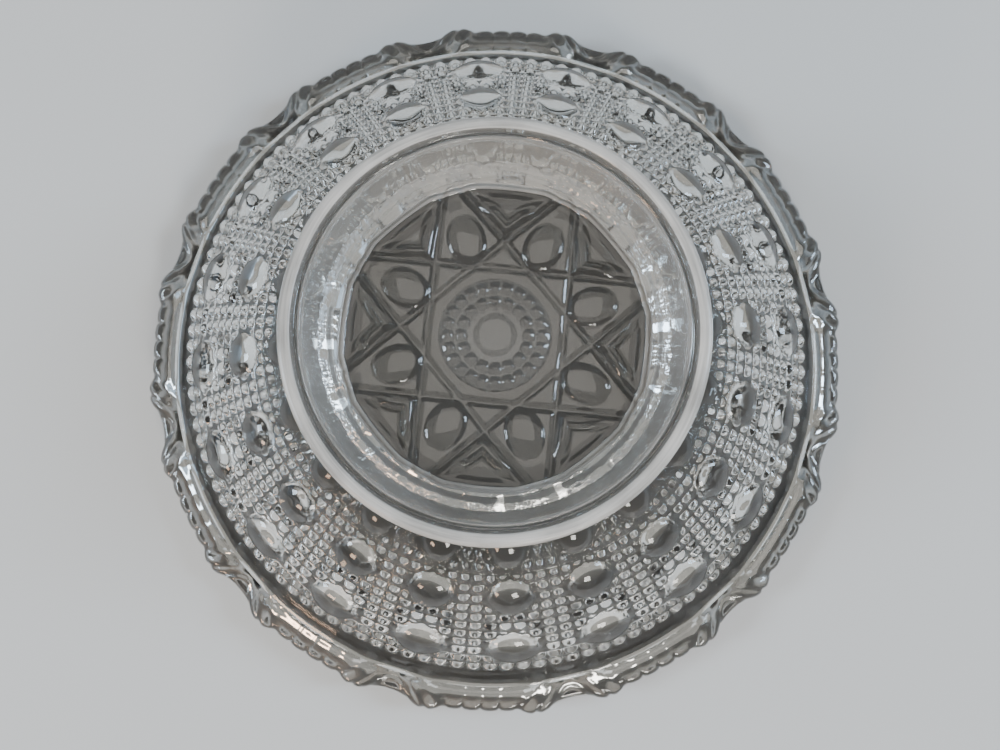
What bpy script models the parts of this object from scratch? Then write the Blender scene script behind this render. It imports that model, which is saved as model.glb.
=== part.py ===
"""A footed dish of pressed clear glass, lying upside down on its rim.

The rim plane is z = 0, the foot points up (+Z), and the dish's axis is the Z axis. Sizes are in metres.
Two solids: the bowl, whose outside has rows of raised thumbprints under a scalloped rim, and the foot ring.
"""

import math

import bmesh
import bpy

MM = 0.001

# Driving dimensions
HEIGHT = 49.0 * MM  # rim plane to the face the foot rests on
RIM_RADIUS = 81.6 * MM  # to the tips of the rim's leaves
FOOT_RADIUS = 40.3 * MM
SEAT_INNER, SEAT_OUTER = 31.6 * MM, 36.2 * MM  # the flat ring of the bowl that carries the foot
SEAT_HEIGHT = HEIGHT - 9.8 * MM
BASE_HEIGHT = HEIGHT - 11.6 * MM  # underside of the bowl inside the foot ring
FLOOR_HEIGHT = HEIGHT - 15.0 * MM  # the bowl's floor, where the sweets lie
REST_INNER, REST_OUTER = 37.5 * MM, 39.3 * MM  # flat ring that the dish stands on
JOINT_GAP = 0.3 * MM

# Rim: twelve notches, each between two leaves, with a straighter panel from pair to pair
NOTCHES = 12
NOTCH_TURN = math.radians(12.5)  # where the first notch is, from +X
NOTCH_DEPTH = 3.0 * MM
LEAF_TIP = math.radians(6.0)  # from the notch to a leaf's tip
PANEL_START = math.radians(9.0)
PANEL_DEPTH = 1.0 * MM

# Wall: thumbprints in upright columns and rows
THUMB_COLUMNS = 20
THUMB_TURN = math.radians(3.5)
THUMB_RISE = 1.4 * MM
THUMB_WIDE, THUMB_LONG = 0.29, 5.2 * MM  # half width as a share of a column, half length up the wall
THUMB_ROWS = (5.0 * MM, 18.0 * MM, 34.8 * MM)  # middle of each row, along the wall from the foot

SEGMENTS = 120  # a multiple of both counts, so that every notch and every thumbprint falls on a vertex

# Outlines as (radius, height) in millimetres, smooth through their points
WALL = [(36.2, 39.2), (41.5, 37.4), (51.0, 31.2), (64.5, 18.6), (70.0, 13.2)]
INSIDE = [(73.4, 5.2), (71.4, 7.2), (62.2, 16.0), (48.5, 28.0), (40.0, 31.8), (30.0, 33.6), (14.0, 34.0)]

# The rim's rings as (distance in from RIM_RADIUS, height, share of the scallop), in millimetres: down through
# the groove, out along the thick ledge, round the edge, across the flat ring at z = 0 and into the bowl
RIM = [
    (9.2, 10.25, 0.0), (7.6, 9.2, 0.0), (6.7, 9.65, 0.0), (4.2, 9.0, 0.25), (2.2, 7.6, 0.6),
    (0.7, 5.7, 0.9), (0.0, 3.2, 1.0), (0.4, 1.0, 0.95), (1.4, 0.0, 0.8), (3.2, 0.0, 0.5),
    (4.6, 1.35, 0.25), (6.4, 3.3, 0.0),
]

GLASS_COLOUR = (0.93, 0.96, 0.955, 1.0)
GLASS_ROUGHNESS = 0.03
GLASS_IOR = 1.52


def clear_scene():
    for item in list(bpy.data.objects):
        bpy.data.objects.remove(item, do_unlink=True)


def smooth_curve(points, count):
    """Evenly spaced points on a Catmull-Rom curve through points given in millimetres."""
    ends = [points[0], *points, points[-1]]
    fine = []
    for a, b, c, d in zip(ends, ends[1:], ends[2:], ends[3:]):
        for i in range(12):
            t = i / 12
            fine.append(tuple(
                0.5 * MM * (2 * b[k] + (c[k] - a[k]) * t + (2 * a[k] - 5 * b[k] + 4 * c[k] - d[k]) * t**2
                            + (3 * b[k] - a[k] - 3 * c[k] + d[k]) * t**3)
                for k in (0, 1)))
    fine.append((points[-1][0] * MM, points[-1][1] * MM))
    return resample(fine, count)


def resample(line, count):
    """The line as count points, evenly spaced along it."""
    along = [0.0]
    for a, b in zip(line, line[1:]):
        along.append(along[-1] + math.dist(a, b))
    spaced, i = [], 0
    for n in range(count):
        target = along[-1] * n / (count - 1)
        while i < len(line) - 2 and along[i + 1] < target:
            i += 1
        share = (target - along[i]) / (along[i + 1] - along[i])
        spaced.append(tuple(p + (q - p) * share for p, q in zip(line[i], line[i + 1])))
    return spaced


def eased(share):
    """0 to 1 with no corner at either end."""
    share = min(max(share, 0.0), 1.0)
    return share * share * (3 - 2 * share)


def from_nearest(angle, turn, count):
    """The angle from the nearest of count marks spaced round the axis."""
    step = 2 * math.pi / count
    return (angle - turn + step / 2) % step - step / 2


def scallop(angle):
    """How far the rim's edge stands back from RIM_RADIUS at an angle."""
    off = abs(from_nearest(angle, NOTCH_TURN, NOTCHES))
    notch = NOTCH_DEPTH * eased((LEAF_TIP - off) / LEAF_TIP)
    return notch + PANEL_DEPTH * eased((off - LEAF_TIP) / (PANEL_START - LEAF_TIP))


def thumbprint(angle, along):
    """How far the wall stands proud at an angle and a distance along the wall from the foot."""
    across = from_nearest(angle, THUMB_TURN, THUMB_COLUMNS) / (THUMB_WIDE * 2 * math.pi / THUMB_COLUMNS)
    nearest = min(abs(along - row) for row in THUMB_ROWS) / THUMB_LONG
    return THUMB_RISE * max(0.0, 1 - across**2 - nearest**2)


def wall_rings():
    """The wall's outside as rings of (radius, height) at each segment, thumbprints raised square to it."""
    line = smooth_curve(WALL, 14)
    step = math.dist(line[0], line[1])
    rings = []
    for i, (radius, height) in enumerate(line):
        (r0, z0), (r1, z1) = line[max(i - 1, 0)], line[min(i + 1, len(line) - 1)]
        length = math.hypot(r1 - r0, z1 - z0)
        out, up = (z0 - z1) / length, (r1 - r0) / length
        rises = [thumbprint(angle, i * step) for angle in segment_angles()]
        rings.append([(radius + out * rise, height + up * rise) for rise in rises])
    return rings


def rim_rings():
    """The groove, the ledge, the edge and the flat ring the dish lies on, with the scallops cut in."""
    return [[(RIM_RADIUS - inset * MM - scallop(angle) * share, height * MM) for angle in segment_angles()]
            for inset, height, share in RIM]


def plain_rings(line):
    return [[point] * SEGMENTS for point in line]


def segment_angles():
    return [NOTCH_TURN + 2 * math.pi * i / SEGMENTS for i in range(SEGMENTS)]


def ring_mesh(name, rings, poles):
    """A closed skin through rings of (radius, height). Two poles, as heights, close its ends. With none, the
    last ring meets the first."""
    mesh = bmesh.new()
    rows = []
    for ring in rings:
        rows.append([mesh.verts.new((r * math.cos(a), r * math.sin(a), z))
                     for (r, z), a in zip(ring, segment_angles())])
    pairs = list(zip(rows, rows[1:]))
    if poles:
        for height, row in zip(poles, (rows[0], rows[-1])):
            middle = mesh.verts.new((0.0, 0.0, height))
            for i in range(SEGMENTS):
                mesh.faces.new((middle, row[i], row[(i + 1) % SEGMENTS]))
    else:
        pairs.append((rows[-1], rows[0]))
    for upper, lower in pairs:
        for i in range(SEGMENTS):
            j = (i + 1) % SEGMENTS
            mesh.faces.new((upper[i], upper[j], lower[j], lower[i]))
    bmesh.ops.recalc_face_normals(mesh, faces=mesh.faces)
    bmesh.ops.triangulate(mesh, faces=mesh.faces)
    data = bpy.data.meshes.new(name)
    mesh.to_mesh(data)
    mesh.free()
    data.shade_smooth()
    data.set_sharp_from_angle(angle=math.radians(32))
    return data


def bowl_mesh():
    base = [(14.0 * MM, BASE_HEIGHT), (30.6 * MM, BASE_HEIGHT), (SEAT_INNER, SEAT_HEIGHT)]
    rings = plain_rings(base) + wall_rings() + rim_rings() + plain_rings(smooth_curve(INSIDE, 10))
    return ring_mesh("bowl", rings, (BASE_HEIGHT, FLOOR_HEIGHT))


def foot_mesh():
    """The foot ring: it flares from the seat to its widest just short of the face the dish rests on."""
    bottom = SEAT_HEIGHT + JOINT_GAP
    outline = [
        (SEAT_OUTER, bottom),
        (37.9 * MM, 42.6 * MM),
        (39.7 * MM, 45.8 * MM),
        (FOOT_RADIUS, 47.6 * MM),
        (FOOT_RADIUS - 0.3 * MM, 48.6 * MM),
        (REST_OUTER, HEIGHT),
        (REST_INNER, HEIGHT),
        (36.8 * MM, 48.5 * MM),
        (SEAT_INNER, bottom),
    ]
    return ring_mesh("foot", plain_rings(outline), None)


def glass(name, tint):
    """Clear glass. Both parts are the same melt; tint is a slight change of shade that tells them apart."""
    material = bpy.data.materials.new(name)
    material.use_nodes = True
    shader = material.node_tree.nodes["Principled BSDF"]
    shader.inputs["Base Color"].default_value = [c * t for c, t in zip(GLASS_COLOUR, (*tint, 1.0))]
    shader.inputs["Roughness"].default_value = GLASS_ROUGHNESS
    shader.inputs["Metallic"].default_value = 0.0
    shader.inputs["IOR"].default_value = GLASS_IOR
    shader.inputs["Transmission Weight"].default_value = 1.0
    return material


def add_part(mesh, material):
    part = bpy.data.objects.new(mesh.name, mesh)
    mesh.materials.append(material)
    bpy.context.scene.collection.objects.link(part)
    return part


clear_scene()
add_part(bowl_mesh(), glass("bowl_glass", (1.0, 1.0, 1.0)))
add_part(foot_mesh(), glass("foot_glass", (0.98, 0.995, 1.0)))
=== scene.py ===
"""The looks of a footed pressed-glass dish that lies upside down on its rim.

Four blanks are turned from outlines: the base, the wall, the rim and the foot ring. A Geometry
Nodes press raises the pattern on them: thumbprints and hobnails up the wall, leaves and notches
round the rim, a star in the base, faint flutes and a mould seam on the foot. Where two pieces meet,
both carry the same ring of points and a see-through face, so that the glass reads as one lump.
"""

import math

import bmesh
import bpy
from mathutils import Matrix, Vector


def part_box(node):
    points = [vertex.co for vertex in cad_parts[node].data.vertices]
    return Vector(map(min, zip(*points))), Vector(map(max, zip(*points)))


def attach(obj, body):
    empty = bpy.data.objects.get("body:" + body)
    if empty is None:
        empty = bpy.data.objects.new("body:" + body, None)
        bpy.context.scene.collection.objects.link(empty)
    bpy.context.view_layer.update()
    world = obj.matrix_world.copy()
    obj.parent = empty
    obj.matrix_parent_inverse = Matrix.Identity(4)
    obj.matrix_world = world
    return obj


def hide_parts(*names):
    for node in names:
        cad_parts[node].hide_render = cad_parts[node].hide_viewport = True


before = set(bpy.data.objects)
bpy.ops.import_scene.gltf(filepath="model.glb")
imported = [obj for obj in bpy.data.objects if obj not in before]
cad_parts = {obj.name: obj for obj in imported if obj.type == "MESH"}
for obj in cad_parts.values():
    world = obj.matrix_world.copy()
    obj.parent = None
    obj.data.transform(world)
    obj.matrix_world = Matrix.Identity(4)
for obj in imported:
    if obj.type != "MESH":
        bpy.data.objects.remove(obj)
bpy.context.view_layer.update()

# ---------------------------------------------------------------- sizes, from the frame
seat_low, seat_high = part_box("foot")
JOINT_GAP = 0.0003  # between the two solids of the frame, in metres
RIM_RADIUS = max(math.hypot(v.co.x, v.co.y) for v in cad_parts["bowl"].data.vertices)
HEIGHT = seat_high.z
SEAT_HEIGHT = seat_low.z - JOINT_GAP
DRAWN_RIM = 81.6  # the outlines below are drawn in millimetres for a rim of this radius
MM = RIM_RADIUS / DRAWN_RIM

# Outlines as (radius, height) in millimetres, smooth through their points
SEAT_INNER, SEAT_OUTER = 31.6, 36.2
BASE_RADIUS = 31.3
BASE_DEPTH = 11.6  # from the face the foot rests on
BASE_HEIGHT = HEIGHT / MM - BASE_DEPTH
WALL = [(36.2, 39.2), (41.5, 37.4), (51.0, 31.2), (64.5, 18.6), (70.0, 13.2)]
GROOVE = [(70.0, 13.2), (71.1, 11.7), (72.6, 10.1), (74.0, 8.8), (74.9, 8.45)]
LEDGE = [
    (74.9, 8.45), (75.5, 8.95), (76.6, 9.1), (78.9, 9.0),
    (80.5, 8.2), (81.15, 6.7), (81.35, 4.8), (81.4, 3.0),
]
RIM_EDGE = [(81.4, 3.0), (81.35, 1.8), (81.1, 0.7), (80.9, 0.15), (80.5, 0.03)]
INSIDE = [
    (79.9, 0.03), (77.8, 1.7), (71.4, 7.2), (62.2, 16.0), (48.5, 28.0),
    (42.5, 31.4), (36.0, 33.2), (29.0, 33.9), (14.0, 34.0),
]
INSIDE_CUTS = (71.4, 31.6)  # radii where the rim, wall and base part
FLOOR_HEIGHT = 34.0
FOOT_FLANK = [(36.2, 39.2), (37.4, 41.6), (38.9, 44.6), (40.1, 46.9), (40.3, 47.7)]
FOOT_SHOULDER = [(40.3, 47.7), (40.15, 48.4), (39.7, 48.85), (39.2, 48.98)]
FOOT_REST = [(39.2, 48.98), (38.3, 48.98), (37.8, 48.85)]
FOOT_GROOVE = [(37.8, 48.85), (37.5, 48.45), (37.2, 47.95), (36.8, 47.9), (36.6, 48.15)]
FOOT_LIP = [(36.6, 48.15), (36.35, 48.35), (36.05, 48.3), (35.8, 47.9)]
FOOT_CONE = [(35.8, 47.9), (35.2, 46.2), (33.4, 42.6), (31.6, 39.2)]

# Steps round the axis: finest where the pattern is small, coarser where the glass is plain
RIM_STEPS = 1440
CONE_STEPS = 1080
WALL_STEPS = 720
BASE_STEPS = 720
JOINT_STEPS = 360  # every ring that two pieces share
DAISY_STEPS = 240
PLAIN_STEPS = 120
RINGS_A_HOBNAIL = 8  # steps up the wall
STEPS_A_SPAN = 40  # points to a span of an outline, before they are spaced evenly

# Wall pattern
THUMB_COLUMNS = 20
THUMB_TURN = math.radians(3.5)
THUMB_ROWS = (5.0, 18.0, 34.8)  # middle of each row, in millimetres up the wall from the foot
HOBNAILS_ROUND = 120
HOBNAIL_ROWS = 15
TALL_HOBNAILS = (16, 10)  # millimetres from the foot: they grow from the first to the second

# Rim pattern
NOTCHES = 12
NOTCH_TURN = math.radians(12.5)
LEAF_ROOT = 2.4  # degrees from the notch to the middle of a leaf, at the groove
LEAF_SPREAD = 3.6  # degrees further from it at the edge
LEAF_HALF = 2.4  # half a leaf's width in degrees
LEAF_VEIN = 0.32  # the vein's half width as a share of the leaf's
VEIN_NICK = 0.34  # and that of the nick it makes in the edge

# Base star. Its parts are placed and sized as shares of the base's radius
STAR_POINTS = 8
STAR_TURN = math.radians(16.5)
CUT_OFF, CUT_HALF = 0.43, 0.034
OVAL_OFF, OVAL_LONG, OVAL_WIDE = 0.645, 0.155, 0.12
WEDGE_OFF, WEDGE_HALF = 0.70, 0.04
WEDGE_LEAN = 1.113  # radians from a point's middle line to the normal of the wedge's arm
OUTER_DOTS, OUTER_DOTS_OFF = 24, 0.30
INNER_DOTS, INNER_DOTS_OFF = 16, 0.215
DOT_HALF = 0.035
BUTTON, BUTTON_EYE = 0.13, 0.08
DAISY_REACH = 0.36
BORDER_OFF, BORDER_HALF = 0.975, 0.017
BASE_STRAIGHT = 0.65  # 0 gives a round base, 1 straight runs between corners
NARROW_RUN = math.radians(9)  # half of a narrow run

# Foot
SEAM_TURN = math.radians(151)

# How rubbed the glass is, from 0 to 1; on the base's border and seat, how strong the painted
# highlight is
DAISY_WEAR = 0.07
# These two are a painted highlight: milky film on the base's border and its seat makes the bright
# line round the star
BORDER_HIGHLIGHT = 0.6
SEAT_HIGHLIGHT = 0.22

# Finish
GLASS_IOR = 1.52
PALE_TINT = (0.966, 0.973, 0.953, 1)
DEEP_TINT = (0.938, 0.955, 0.928, 1)
# Colour of the milky film: real rubbing on the foot and rim, a painted highlight on the base's
# border and seat
MILKY_AND_HIGHLIGHT_COLOUR = (0.92, 0.885, 0.83, 1)

# Studio, in metres
FLOOR_COLOUR = (0.62, 0.62, 0.61)
FLOOR_WIDTH = 24.0
FLOOR_DROP = 0.0002  # keeps the floor's face clear of the rim's
AIR_COLOUR = (0.40, 0.388, 0.36, 1.0)
CAMERA_PLACE = (0.97, -25.2, 193.7)  # in the same millimetres as the outlines
CAMERA_LEAN = math.radians(6.3)

# Softboxes, all turned to the dish: name, place, width, height, power, colour
SOFTBOXES = (
    ("overhead_card", (0.0, 0.2, 1.3), 0.7, 0.6, 2.1, (1.0, 0.94, 0.86)),
    ("left_window", (-0.85, -0.1, 0.6), 0.3, 0.3, 6.5, (0.7, 0.85, 1.0)),
    ("left_sky", (-1.3, 0.25, 0.4), 1.2, 0.5, 1.6, (0.42, 0.68, 1.0)),
    ("right_window", (0.8, 0.1, 0.6), 0.2, 0.45, 6.5, (0.6, 0.78, 1.0)),
    ("front_window", (0.25, -0.95, 0.6), 0.3, 0.3, 6.5, (1.0, 0.96, 0.9)),
    ("warm_card", (-0.65, -0.75, 0.4), 0.25, 0.2, 3.0, (1.0, 0.66, 0.46)),
)


# ---------------------------------------------------------------- node trees written as sums
class Value:
    """A number, vector or colour on a node's socket. Arithmetic on it adds Math nodes."""

    def __init__(self, bench, socket):
        self.bench = bench
        self.socket = socket

    def math(self, operation, *others):
        sockets = dict(enumerate((self, *others)))
        return self.bench.add("ShaderNodeMath", sockets, operation=operation)

    def __add__(self, other):
        return self.math("ADD", other)

    def __sub__(self, other):
        return self.math("SUBTRACT", other)

    def __mul__(self, other):
        return self.math("MULTIPLY", other)

    def __truediv__(self, other):
        return self.math("DIVIDE", other)

    def __pow__(self, other):
        return self.math("POWER", other)

    def __rsub__(self, other):
        return self * -1 + other

    def __rtruediv__(self, other):
        return self**-1 * other

    def __neg__(self):
        return self * -1

    def __abs__(self):
        return self.math("ABSOLUTE")

    __radd__ = __add__
    __rmul__ = __mul__

    def least(self, other):
        return self.math("MINIMUM", other)

    def most(self, other):
        return self.math("MAXIMUM", other)

    def root(self):
        return self.most(0.0).math("SQRT")

    def cell(self):
        """Where this lies in its unit cell, from -1 to 1."""
        return self.math("FRACT") * 2 - 1

    def step(self, low, high):
        """0 below low to 1 above high, eased at both ends. High may be below low, which turns it
        round."""
        ends = {"Value": self, "From Min": low, "From Max": high}
        return self.bench.add("ShaderNodeMapRange", ends, interpolation_type="SMOOTHSTEP")


class Bench:
    """One node tree under construction."""

    def __init__(self, tree):
        self.tree = tree

    def node(self, kind, sockets=None, **settings):
        """A node of a kind, its settings made first, then its sockets given values or links."""
        node = self.tree.nodes.new(kind)
        for name, value in settings.items():
            setattr(node, name, value)
        for key, value in (sockets or {}).items():
            if isinstance(value, Value):
                self.tree.links.new(value.socket, node.inputs[key])
            else:
                node.inputs[key].default_value = value
        return node

    def add(self, kind, sockets=None, output=0, **settings):
        return Value(self, self.node(kind, sockets, **settings).outputs[output])

    def field(self, name, data_type="FLOAT"):
        """A stored attribute of the blank's points."""
        return self.add("GeometryNodeInputNamedAttribute", {"Name": name}, data_type=data_type)

    def vector(self, x, y, z):
        return self.add("ShaderNodeCombineXYZ", {"X": x, "Y": y, "Z": z})

    def scaled(self, vector, factor):
        return self.add("ShaderNodeVectorMath", {0: vector, "Scale": factor}, operation="SCALE")

    def joined(self, first, second):
        return self.add("ShaderNodeVectorMath", {0: first, 1: second}, operation="ADD")


# ---------------------------------------------------------------- the press: relief as formulas
def across(turn, start, count):
    """Where an angle lies in its share of count shares round the axis: from -1 to 1, with 0 on the
    share's mark."""
    return ((turn - start) * (count / (2 * math.pi)) + 0.5).cell()


def wall_relief(turn, run, size):
    """Domed thumbprints in columns, in a lattice of small square hobnails."""
    column = across(turn, THUMB_TURN, THUMB_COLUMNS) / size["Thumbprint Width"]
    apart = None
    for row in THUMB_ROWS:
        distance = column**2 + ((run - row * MM) / size["Thumbprint Length"]) ** 2
        apart = distance if apart is None else apart.least(distance)
    thumb = (1 - apart).most(0.0) ** 0.6 * size["Thumbprint Rise"]
    side = abs(across(turn, THUMB_TURN + math.pi / HOBNAILS_ROUND, HOBNAILS_ROUND))
    along = abs((run / size["Hobnail Pitch"]).cell())
    point = (1 - side**1.7) * (1 - along**1.25)
    taller = run.step(*(place * MM for place in TALL_HOBNAILS)) * 0.3 + 1
    return thumb + point * apart.step(1.0, 1.2) * taller * size["Hobnail Rise"]


def rim_marks(turn, run):
    """Where a point lies on the rim: degrees from the nearest notch, place across the nearest leaf
    from -1 to 1, and height on the small ribs of the panels."""
    off = abs(across(turn, NOTCH_TURN, NOTCHES)) * (180 / NOTCHES)
    leaf = (off - ((run * 1.8).least(1.0) * LEAF_SPREAD + LEAF_ROOT)) / LEAF_HALF
    rib = (1 - across(turn, NOTCH_TURN + math.pi / HOBNAILS_ROUND, HOBNAILS_ROUND) ** 2).root()
    return off, leaf, rib


def rim_relief(turn, run, size):
    """Two veined leaves that part towards the edge from each notch, and a panel of short ribs from
    pair to pair. run goes from 0 at the groove to 1 at the edge."""
    off, leaf, rib = rim_marks(turn, run)
    blade = (1 - leaf**2).most(0.0) ** 0.75 - (1 - abs(leaf) / LEAF_VEIN).most(0.0) * 0.5
    leaves = blade * run.step(0.0, 0.2)
    valley = leaf.step(-0.8, -1.3) * run.step(0.0, 0.25) * -0.6
    gap = (1 - ((leaf - 1.25) / 0.3) ** 2).most(0.0) * -0.3
    panel = leaf.step(1.35, 1.6) * run.step(0.34, 0.4)
    ribs = panel * (rib * 0.8 - 0.5)
    return (leaves + valley + gap + ribs) * run.step(0.85, 0.5) * size["Leaf Rise"]


def rim_setback(turn, run, size):
    """How far the edge stands back from the tips of the leaves."""
    off, leaf, rib = rim_marks(turn, run)
    notch = off.step(5.8, 0.4) * size["Notch Depth"]
    panel = off.step(6.8, 9.0) * size["Panel Depth"]
    ribs = off.step(8.8, 9.6) * (1 - rib) * size["Panel Depth"] * 0.4
    vein = (1 - abs(leaf) / VEIN_NICK).most(0.0) * size["Panel Depth"] * 0.3
    return (notch + panel + ribs + vein) * run.step(0.1, 0.9)


def dot_ring(turn, out, count, middle):
    """A ring of small raised dots in the daisy."""
    return (1 - across(turn, 0.0, count) ** 2) * (1 - ((out - middle) / DOT_HALF) ** 2).most(0.0)


def star_relief(turn, out, size):
    """Eight crossed cuts, an oval print in each point of the star, a wedge between points, a daisy
    in the middle and a raised border. out is the share of the base's radius."""
    share = math.pi / STAR_POINTS
    point = across(turn, STAR_TURN, STAR_POINTS) * share
    cuts = None
    for k in range(STAR_POINTS):
        normal = STAR_TURN + (2 * k + 1) * share
        off = abs(out * (turn - normal).math("COSINE") - CUT_OFF)
        cuts = off if cuts is None else cuts.least(off)
    cut = (1 - (cuts / CUT_HALF) ** 2).most(0.0) ** 2 * out.step(0.38, 0.45)
    along = out * point.math("COSINE")
    aside = abs(out * point.math("SINE"))
    oval = (1 - ((along - OVAL_OFF) / OVAL_LONG) ** 2 - (aside / OVAL_WIDE) ** 2).root()
    arm = WEDGE_OFF * math.cos(WEDGE_LEAN - share)
    beyond = along * math.cos(WEDGE_LEAN) + aside * math.sin(WEDGE_LEAN) - arm
    wedge = (1 - (beyond / WEDGE_HALF) ** 2).most(0.0) * out.step(0.87, 0.78)
    lens = beyond.step(0.0, 0.07) * out.step(0.955, 0.88)
    outer_dots = dot_ring(turn, out, OUTER_DOTS, OUTER_DOTS_OFF)
    inner_dots = dot_ring(turn, out, INNER_DOTS, INNER_DOTS_OFF)
    button = (1 - (out / BUTTON) ** 2).root() - (1 - (out / BUTTON_EYE) ** 2).root() * 0.5
    daisy = out.step(DAISY_REACH, 0.33) * 0.4 + outer_dots * 0.8 + inner_dots * 0.8 + button * 0.7
    border = (1 - ((out - BORDER_OFF) / BORDER_HALF) ** 2).root()
    raised = oval + wedge + daisy * 0.8 + border * 0.45
    return (raised - cut * 0.5 - lens * 0.55) * size["Star Depth"]


def cone_relief(bench, turn, run, size):
    """Faint flutes up the inside of the foot, broken by the roll of the glass. run goes from 0 at
    the lip to 1 at the base."""
    flute = 1 - across(turn, 0.0, HOBNAILS_ROUND) ** 2
    place = bench.add("GeometryNodeInputPosition")
    roll = bench.add("ShaderNodeTexNoise", {"Vector": place, "Scale": 650.0, "Detail": 2.0})
    rise = (flute * 0.35 + roll * 1.6) * run.step(0.0, 0.12) * run.step(1.0, 0.85)
    return rise * size["Flute Rise"]


def seam_relief(turn, size):
    """The faint fin where the two halves of the mould met."""
    off = abs(across(turn, SEAM_TURN, 2)) * 90  # degrees
    return (1 - off / 0.7).most(0.0) * size["Seam Rise"]


def press_tree(glass, joint):
    """The tree that presses the pattern into a blank, along each point's stored outward
    direction."""
    tree = bpy.data.node_groups.new("press_pattern", "GeometryNodeTree")
    face = tree.interface
    face.new_socket("Blank", in_out="INPUT", socket_type="NodeSocketGeometry")
    for name in PRESS_SIZES:
        face.new_socket(name, in_out="INPUT", socket_type="NodeSocketFloat")
    face.new_socket("Pressed", in_out="OUTPUT", socket_type="NodeSocketGeometry")
    bench = Bench(tree)
    inlet = bench.node("NodeGroupInput")
    size = {name: Value(bench, inlet.outputs[name]) for name in PRESS_SIZES}
    turn, run = bench.field("turn"), bench.field("run")
    rise = (
        wall_relief(turn, run, size) * bench.field("on_wall")
        + rim_relief(turn, run, size) * bench.field("on_rim")
        + star_relief(turn, run, size) * bench.field("on_base")
        + cone_relief(bench, turn, run, size) * bench.field("on_cone")
        + seam_relief(turn, size) * bench.field("on_seam")
    )
    setback = rim_setback(turn, run, size) * bench.field("on_rim")
    away = bench.vector(turn.math("COSINE"), turn.math("SINE"), 0.0)
    offset = bench.joined(
        bench.scaled(bench.field("outward", "FLOAT_VECTOR"), rise), bench.scaled(away, -setback)
    )
    blank = Value(bench, inlet.outputs["Blank"])
    pressed = bench.add("GeometryNodeSetPosition", {"Geometry": blank, "Offset": offset})
    real = bench.add("GeometryNodeRealizeInstances", {"Geometry": pressed})
    clear = bench.add("GeometryNodeSetMaterial", {"Geometry": real, "Material": glass})
    hidden = bench.add(
        "GeometryNodeSetMaterial",
        {"Geometry": clear, "Selection": bench.field("is_joint", "BOOLEAN"), "Material": joint},
    )
    outlet = bench.node("NodeGroupOutput")
    tree.links.new(hidden.socket, outlet.inputs["Pressed"])
    return tree


def press(blank, tree, sizes):
    """Runs the press on a blank and keeps the result as a plain mesh."""
    modifier = blank.modifiers.new("press", "NODES")
    modifier.node_group = tree
    inputs = [item for item in tree.interface.items_tree if item.in_out == "INPUT"]
    sockets = {item.name: item.identifier for item in inputs}
    for name, value in sizes.items():
        modifier[sockets[name]] = value
    graph = bpy.context.evaluated_depsgraph_get()
    made = blank.evaluated_get(graph)
    pressed = bpy.data.meshes.new_from_object(made, preserve_all_data_layers=True, depsgraph=graph)
    blank.modifiers.remove(modifier)
    blank.data = pressed
    pressed.name = blank.name
    return blank


# ---------------------------------------------------------------- blanks: turned outlines
def between(a, b, c, d, t):
    """The value at a share t of the way from b to c, on the smooth curve that comes from a and
    goes on to d."""
    square = (2 * a - 5 * b + 4 * c - d) * t**2
    cube = (3 * b - a - 3 * c + d) * t**3
    return 0.5 * (2 * b + (c - a) * t + square + cube)


def curve_through(points, spacing=None, count=None):
    """Points in metres on a smooth line through (radius, height) points in millimetres. They are
    evenly spaced, about a spacing in millimetres apart or a count of them."""
    ends = [points[0], *points, points[-1]]
    fine = []
    for four in zip(ends, ends[1:], ends[2:], ends[3:]):
        for i in range(STEPS_A_SPAN):
            fine.append(tuple(between(*axis, i / STEPS_A_SPAN) * MM for axis in zip(*four)))
    fine.append((points[-1][0] * MM, points[-1][1] * MM))
    along = [0.0]
    for a, b in zip(fine, fine[1:]):
        along.append(along[-1] + math.dist(a, b))
    count = count or max(2, round(along[-1] / (spacing * MM)) + 1)
    spaced, i = [], 0
    for n in range(count):
        target = along[-1] * n / (count - 1)
        while i < len(fine) - 2 and along[i + 1] < target:
            i += 1
        share = (target - along[i]) / (along[i + 1] - along[i])
        spaced.append(tuple(p + (q - p) * share for p, q in zip(fine[i], fine[i + 1])))
    return spaced


def part_way(value, share):
    """A share of the way from the first to the second of a pair. A plain number stays as it is."""
    return value[0] + (value[1] - value[0]) * share if isinstance(value, tuple) else value


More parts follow.
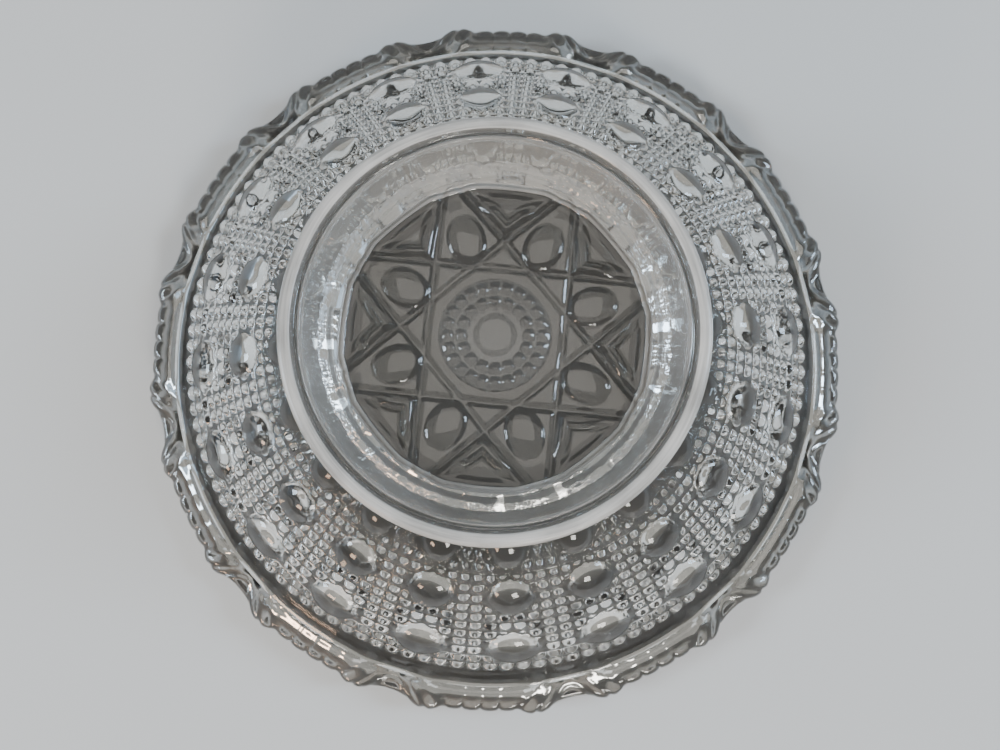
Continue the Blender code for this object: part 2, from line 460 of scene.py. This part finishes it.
class Blank:
    """A turned shape built ring by ring, each ring's points storing what the press reads."""

    FIELDS = ("turn", "run", "on_wall", "on_rim", "on_base", "on_cone", "on_seam", "wear")

    def __init__(self, name):
        self.name = name
        self.mesh = bmesh.new()
        self.layers = {field: self.mesh.verts.layers.float.new(field) for field in self.FIELDS}
        self.outward = self.mesh.verts.layers.float_vector.new("outward")
        self.joint = self.mesh.faces.layers.int.new("joint_face")
        self.last = None
        self.first = None

    def point(self, radius, height, turn, slope, values):
        x, y = math.cos(turn), math.sin(turn)
        vert = self.mesh.verts.new((radius * x, radius * y, height))
        vert[self.outward] = Vector((slope[0] * x, slope[0] * y, slope[1]))
        vert[self.layers["turn"]] = turn
        for field, value in values.items():
            vert[self.layers[field]] = value
        return vert

    def ring(self, radius, height, count, slope=(0.0, 1.0), reach=None, joint=False, **values):
        """A ring of points, skinned to the ring before it. reach(turn) scales its radius."""
        row = []
        for i in range(count):
            turn = 2 * math.pi * i / count
            scale = reach(turn) if reach else 1.0
            row.append(self.point(radius * scale, height, turn, slope, values))
        if self.last:
            self.skin(self.last, row, joint)
        self.first = self.first or row
        self.last = row

    def skin(self, one, other, joint=False):
        """Faces between two rings. One may have a whole number of times the other's points."""
        long, short = (one, other) if len(one) >= len(other) else (other, one)
        times = len(long) // len(short)
        for i, inner in enumerate(short):
            beyond = short[(i + 1) % len(short)]
            edge = [long[(i * times + k) % len(long)] for k in range(times + 1)]
            if times == 1:
                made = [self.mesh.faces.new((inner, beyond, edge[1], edge[0]))]
            else:
                middle = times // 2
                corners = [(inner, edge[k + 1], edge[k]) for k in range(middle)]
                corners.append((inner, beyond, edge[middle]))
                corners += [(beyond, edge[k + 1], edge[k]) for k in range(middle, times)]
                made = [self.mesh.faces.new(three) for three in corners]
            for face in made:
                face[self.joint] = joint
                face.smooth = not joint

    def pole(self, height, ring, **values):
        """Closes a ring to a point on the axis."""
        vert = self.point(0.0, height, 0.0, (0.0, 1.0), values)
        for i, one in enumerate(ring):
            self.mesh.faces.new((vert, one, ring[(i + 1) % len(ring)])).smooth = True

    def line(self, points, count, skip=1, span=None, **values):
        """Rings along a line of (radius, height), with the outward slope square to it. span scales
        run. A value given as a pair goes evenly from the first to the second along the line."""
        length = sum(math.dist(a, b) for a, b in zip(points, points[1:]))
        done = 0.0
        for i, (radius, height) in enumerate(points):
            if i:
                done += math.dist(points[i - 1], points[i])
            if i < skip:
                continue
            before, after = points[max(i - 1, 0)], points[min(i + 1, len(points) - 1)]
            long = math.dist(before, after)
            slope = ((before[1] - after[1]) / long, (after[0] - before[0]) / long)
            share = done / length
            run = done if span is None else part_way(span, share)
            here = {name: part_way(value, share) for name, value in values.items()}
            self.ring(radius, height, count, slope, run=run, **here)

    def finished(self):
        bmesh.ops.recalc_face_normals(self.mesh, faces=self.mesh.faces)
        for edge in self.mesh.edges:
            edge.smooth = len({face[self.joint] for face in edge.link_faces}) == 1
        data = bpy.data.meshes.new(self.name)
        self.mesh.to_mesh(data)
        self.mesh.free()
        joint = data.attributes.new("is_joint", "BOOLEAN", "FACE")
        marks = [bool(item.value) for item in data.attributes["joint_face"].data]
        joint.data.foreach_set("value", marks)
        piece = bpy.data.objects.new(self.name, data)
        bpy.context.scene.collection.objects.link(piece)
        return piece


def base_reach(turn):
    """How far the base's border reaches at an angle, as a share of its radius: sixteen straighter
    runs, wide and narrow in turn."""
    share = 2 * math.pi / STAR_POINTS
    off = abs((turn - STAR_TURN + share / 2) % share - share / 2)
    wide = share / 2 - NARROW_RUN
    middle, half = (0.0, NARROW_RUN) if off < NARROW_RUN else (share / 2, wide)
    return 1.0 - BASE_STRAIGHT * (1.0 - math.cos(half) / math.cos(off - middle))


def base_wear(share):
    """The daisy stands proud, so it is rubbed. The border's milky film is a painted highlight line.
    """
    if share > 0.96:
        return BORDER_HIGHLIGHT
    return DAISY_WEAR if share < DAISY_REACH else 0.0


def inside_lines():
    """The hollow's surface, cut where the rim meets the wall and where the wall meets the base."""
    inside = curve_through(INSIDE, 2.6)
    rim_cut, base_cut = (
        min(range(len(inside)), key=lambda i: abs(inside[i][0] - cut * MM)) for cut in INSIDE_CUTS
    )
    return inside[:rim_cut + 1], inside[rim_cut:base_cut + 1], inside[base_cut:]


def base_blank():
    """The base: a disc with the star on its outer face."""
    blank = Blank("star_base")
    height = BASE_HEIGHT * MM
    shares = [i / 80 for i in range(1, 73)] + [0.9 + i / 240 for i in range(1, 25)]  # finer border
    for share in shares:
        blend = max(0.0, share - 0.8) / 0.2  # round within, and the border's shape at the edge
        blank.ring(
            BASE_RADIUS * MM * share, height, BASE_STEPS if share > 0.4 else DAISY_STEPS,
            reach=lambda turn, b=blend: 1.0 + (base_reach(turn) - 1.0) * b,
            run=share, on_base=1.0 if share < 1.0 else 0.0, wear=base_wear(share),
        )
    blank.pole(height, blank.first, on_base=1.0, wear=DAISY_WEAR)
    shoulder = BASE_RADIUS * MM * 1.008, height + 0.5 * MM  # where the border turns up the cone
    # The milky film on this shoulder and on the seat below is a painted highlight, carrying the
    # border's bright line towards the cone.
    blank.ring(*shoulder, JOINT_STEPS, reach=base_reach, wear=0.3)
    blank.ring(SEAT_INNER * MM, SEAT_HEIGHT, JOINT_STEPS, wear=SEAT_HIGHLIGHT)
    inside = inside_lines()[2]
    blank.ring(*inside[0], JOINT_STEPS, joint=True)
    blank.line(inside, PLAIN_STEPS)
    blank.pole(FLOOR_HEIGHT * MM, blank.last)
    return blank.finished()


def wall_blank():
    """The wall, from the seat of the foot to the groove under the rim, and its inside."""
    blank = Blank("pressed_wall")
    blank.ring(SEAT_INNER * MM, SEAT_HEIGHT, JOINT_STEPS)
    blank.ring(SEAT_OUTER * MM, SEAT_HEIGHT, JOINT_STEPS, joint=True)
    blank.line(WALL_LINE, WALL_STEPS, on_wall=1.0)
    blank.line(curve_through(GROOVE, 0.9), JOINT_STEPS)
    inside = inside_lines()[1]
    blank.ring(*inside[0], JOINT_STEPS, joint=True)
    blank.line(inside[:-1], PLAIN_STEPS)
    blank.ring(*inside[-1], JOINT_STEPS)
    blank.skin(blank.last, blank.first, joint=True)
    return blank.finished()


def rim_blank():
    """The rim: a thick ledge outside the groove, its edge, and the first of the inside."""
    blank = Blank("leaf_rim")
    inside = inside_lines()[0]
    blank.ring(*[size * MM for size in LEDGE[0]], JOINT_STEPS)
    ledge, edge = curve_through(LEDGE, 0.5), curve_through(RIM_EDGE, 0.5)
    blank.line(ledge, RIM_STEPS, span=(0.0, 1.0), on_rim=1.0, wear=(0.0, 0.12))
    blank.line(edge, RIM_STEPS, span=(1.0, 1.0), on_rim=(1.0, 0.9), wear=(0.12, 0.6))
    blank.line(inside[:-1], JOINT_STEPS, skip=0, span=(1.0, 1.0), on_rim=(0.8, -0.05))
    blank.ring(*inside[-1], JOINT_STEPS)
    blank.skin(blank.last, blank.first, joint=True)
    return blank.finished()


def foot_blank():
    """The foot ring: its flank, the rest it stands on, a groove and lip inside that, and the cone
    down to the base."""
    blank = Blank("foot_ring")
    blank.ring(SEAT_OUTER * MM, SEAT_HEIGHT, JOINT_STEPS)
    blank.line(curve_through(FOOT_FLANK, 0.8), JOINT_STEPS, on_seam=1.0, wear=(0.0, 0.5))
    blank.line(curve_through(FOOT_SHOULDER, 0.35), JOINT_STEPS, wear=(0.5, 1.0))
    blank.line(curve_through(FOOT_REST, 0.4), JOINT_STEPS, wear=1.0)
    blank.line(curve_through(FOOT_GROOVE, 0.2), JOINT_STEPS, wear=(0.25, 0.0))
    blank.line(curve_through(FOOT_LIP, 0.25), JOINT_STEPS, wear=(0.3, 0.5))
    cone = curve_through(FOOT_CONE, 0.45)
    blank.line(cone[:-1], CONE_STEPS, span=(0.0, 1.0), on_cone=1.0, wear=(0.34, 0.3))
    # Painted highlight at the seat, as on the base's border.
    blank.ring(*cone[-1], JOINT_STEPS, wear=SEAT_HIGHLIGHT)
    blank.skin(blank.last, blank.first, joint=True)
    return blank.finished()


# ---------------------------------------------------------------- finishes
def fire_polished_glass():
    """Clear pressed glass: a fire-polished skin with faint chill waves, and a milky film of fine
    circular scratches where it has been set down for years. On the base's border and seat the
    same film is a painted highlight."""
    material = bpy.data.materials.new("fire_polished_glass")
    material.use_nodes = True
    bench = Bench(material.node_tree)
    bench.tree.nodes.clear()
    place = bench.add("ShaderNodeTexCoord", output="Object")
    split = bench.node("ShaderNodeSeparateXYZ", {"Vector": place})
    x, y, z = (Value(bench, split.outputs[axis]) for axis in range(3))
    radius = (x**2 + y**2).root()
    # Stored per point: rubbing on the foot and rim, and the painted highlight on the base's border
    # and seat
    wear = bench.add("ShaderNodeAttribute", output="Fac", attribute_name="wear")
    ring_place = bench.vector(x / radius * 2.2, y / radius * 2.2, radius * 1600 + z * 500)
    streaks = bench.add(
        "ShaderNodeTexNoise",
        {"Vector": ring_place, "Scale": 1.0, "Detail": 5.0, "Roughness": 0.65},
    )
    patches = bench.add("ShaderNodeTexNoise", {"Vector": place, "Scale": 60.0, "Detail": 3.0})
    waves = bench.add("ShaderNodeTexNoise", {"Vector": place, "Scale": 95.0, "Detail": 2.0})
    grain = bench.add("ShaderNodeTexNoise", {"Vector": place, "Scale": 2600.0, "Detail": 3.0})
    scratched = streaks.step(0.3, 0.7) * 0.5 + patches.step(0.3, 0.7) * 0.5
    worn_and_highlit = wear * (scratched * 0.6 + 0.4)
    height = waves * 0.0001 + streaks * wear * 0.00006 + grain * worn_and_highlit * 0.00003
    bump = bench.add("ShaderNodeBump", {"Height": height, "Strength": 0.6, "Distance": 1.0})
    tint = bench.add(
        "ShaderNodeMix",
        {"Factor": waves.step(0.3, 0.7), "A": PALE_TINT, "B": DEEP_TINT},
        output="Result", data_type="RGBA",
    )
    clear = bench.add(
        "ShaderNodeBsdfPrincipled",
        {
            "Base Color": tint, "Roughness": worn_and_highlit * 0.25 + 0.01, "IOR": GLASS_IOR,
            "Transmission Weight": 1.0, "Normal": bump,
        },
    )
    milky_and_highlight = bench.add(
        "ShaderNodeBsdfPrincipled",
        {"Base Color": MILKY_AND_HIGHLIGHT_COLOUR, "Roughness": 0.42, "IOR": GLASS_IOR, "Normal": bump},
    )
    # Mix in the milky film: rubbing, and the painted highlight along the base's border and seat
    mixed = bench.node("ShaderNodeMixShader", {0: worn_and_highlit * 0.7 + patches * 0.05, 1: clear, 2: milky_and_highlight})
    out = bench.node("ShaderNodeOutputMaterial")
    bench.tree.links.new(mixed.outputs[0], out.inputs["Surface"])
    return material


def hot_joint():
    """The face where the two pieces of glass are fused: light passes it as if it weren't there."""
    material = bpy.data.materials.new("hot_joint")
    material.use_nodes = True
    bench = Bench(material.node_tree)
    bench.tree.nodes.clear()
    through = bench.node("ShaderNodeBsdfTransparent", {"Color": (1, 1, 1, 1)})
    out = bench.node("ShaderNodeOutputMaterial")
    bench.tree.links.new(through.outputs[0], out.inputs["Surface"])
    return material


def matt_paint(name, colour, roughness):
    material = bpy.data.materials.new(name)
    material.use_nodes = True
    shader = material.node_tree.nodes["Principled BSDF"]
    shader.inputs["Base Color"].default_value = (*colour, 1.0)
    shader.inputs["Roughness"].default_value = roughness
    return material


# ---------------------------------------------------------------- studio
def add_floor():
    bpy.ops.mesh.primitive_plane_add(size=FLOOR_WIDTH, location=(0, 0, -FLOOR_DROP))
    floor = bpy.context.active_object
    floor.name = "studio_floor"
    floor.data.materials.append(matt_paint("pale_floor", FLOOR_COLOUR, 0.7))


def add_softbox(name, at, width, height, power, colour):
    light = bpy.data.lights.new(name, "AREA")
    light.shape = "RECTANGLE"
    light.size, light.size_y = width, height
    light.energy = power
    light.color = colour
    lamp = bpy.data.objects.new(name, light)
    lamp.location = at
    lamp.rotation_mode = "QUATERNION"
    towards = Vector((0.0, 0.0, HEIGHT / 2)) - Vector(at)
    lamp.rotation_quaternion = towards.to_track_quat("-Z", "Y")
    bpy.context.scene.collection.objects.link(lamp)


def add_studio():
    """Soft windows and cards round the dish, and a pale room beyond them. Light focused by the
    glass onto the floor is left out."""
    for softbox in SOFTBOXES:
        add_softbox(*softbox)
    world = bpy.data.worlds.new("studio_air")
    world.use_nodes = True
    air = world.node_tree.nodes["Background"]
    air.inputs["Color"].default_value = AIR_COLOUR
    air.inputs["Strength"].default_value = 1.0
    bpy.context.scene.world = world
    bpy.context.scene.cycles.caustics_refractive = False
    bpy.context.scene.cycles.caustics_reflective = False


def add_camera():
    """Nearly straight above the foot, leaning a little over the near side of the rim."""
    camera = bpy.data.objects.new("camera", bpy.data.cameras.new("camera"))
    camera.data.lens = 28.8
    camera.data.sensor_width = 36.0
    camera.location = Vector(CAMERA_PLACE) * MM
    look = Vector((0.0, math.sin(CAMERA_LEAN), -math.cos(CAMERA_LEAN)))
    camera.rotation_mode = "QUATERNION"
    camera.rotation_quaternion = look.to_track_quat("-Z", "Y")
    bpy.context.scene.collection.objects.link(camera)
    bpy.context.scene.camera = camera


# ---------------------------------------------------------------- making
add_camera()
add_floor()
add_studio()

WALL_LINE = curve_through(WALL, count=HOBNAIL_ROWS * RINGS_A_HOBNAIL + 1)
PRESS_SIZES = {
    "Thumbprint Width": 0.59,
    "Thumbprint Length": 5.2 * MM,
    "Thumbprint Rise": 2.1 * MM,
    "Hobnail Pitch": sum(math.dist(a, b) for a, b in zip(WALL_LINE, WALL_LINE[1:])) / HOBNAIL_ROWS,
    "Hobnail Rise": 1.15 * MM,
    "Leaf Rise": 0.5 * MM,
    "Notch Depth": 2.4 * MM,
    "Panel Depth": 1.0 * MM,
    "Star Depth": 0.72 * MM,
    "Flute Rise": 0.3 * MM,
    "Seam Rise": 0.12 * MM,
}
pattern = press_tree(fire_polished_glass(), hot_joint())
for blank, node, slot in (
    (base_blank(), "bowl", "bowl_glass"),
    (wall_blank(), "bowl", "bowl_glass"),
    (rim_blank(), "bowl", "bowl_glass"),
    (foot_blank(), "foot", "foot_glass"),
):
    piece = press(blank, pattern, PRESS_SIZES)
    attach(piece, "root")
    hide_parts(node)
